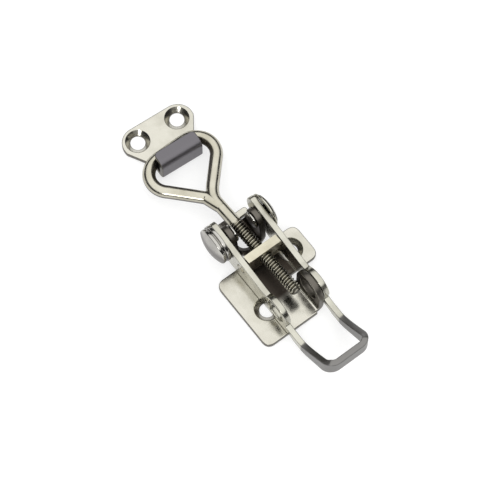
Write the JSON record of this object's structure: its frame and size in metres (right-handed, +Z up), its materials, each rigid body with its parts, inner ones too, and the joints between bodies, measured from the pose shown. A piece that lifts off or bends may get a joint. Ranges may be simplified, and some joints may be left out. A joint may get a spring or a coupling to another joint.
{
  "type": "toggle bolt latch",
  "caption": "Adjustable over-centre toggle latch: riveted strip lever, threaded eye bolt in a cross nut, hooked catch plate, padlock eye.",
  "frame": {"origin": "middle of the base plate's floor, on its underside, which is the mounting face", "axes": "+X from the catch plate along the latch to the lever's free end, +Y across the latch to the side of the short wing and the padlock lug, +Z up out of the mounting face"},
  "size_m": [0.1071, 0.0322, 0.0168],
  "materials": {
    "base_plate": "bright pressed stainless sheet",
    "handle_lever": "satin stainless strip",
    "pivot_rivet": "bright domed head",
    "pivot_washer": "satin",
    "cross_nut": "turned and milled, satin",
    "eye_bolt": "bright drawn wire with a cut thread",
    "catch_plate": "bright sheet with a dull dark hook"
  },
  "bodies": {
    "mounting": {"base_plate": "base_plate", "pivot_rivet_left": "pivot_rivet", "pivot_rivet_right": "pivot_rivet", "pivot_washer": "pivot_washer", "catch_plate": "catch_plate"},
    "lever": {"handle_lever": "handle_lever"},
    "nut": {"cross_nut": "cross_nut"},
    "bolt": {"eye_bolt": "eye_bolt"}
  },
  "joints": [
    {"name": "lever_hinge", "type": "hinge", "parent": "mounting", "child": "lever", "pos_m": [-0.0134, 0, 0.0104], "axis": [0, -1, 0], "range_deg": [0, 60]},
    {"name": "nut_hinge", "type": "hinge", "parent": "lever", "child": "nut", "pos_m": [-0.0027, 0, 0.0087], "axis": [0, -1, 0], "range_deg": [-48.1, 0]},
    {"name": "rod_adjust", "type": "slide", "parent": "nut", "child": "bolt", "axis": [-0.9966, -0.0175, -0.0809], "range_m": [0, 0.001]}
  ],
  "couplings": [
    {"joint": "nut_hinge", "follows": "lever_hinge", "ratio": -0.8}
  ]
}
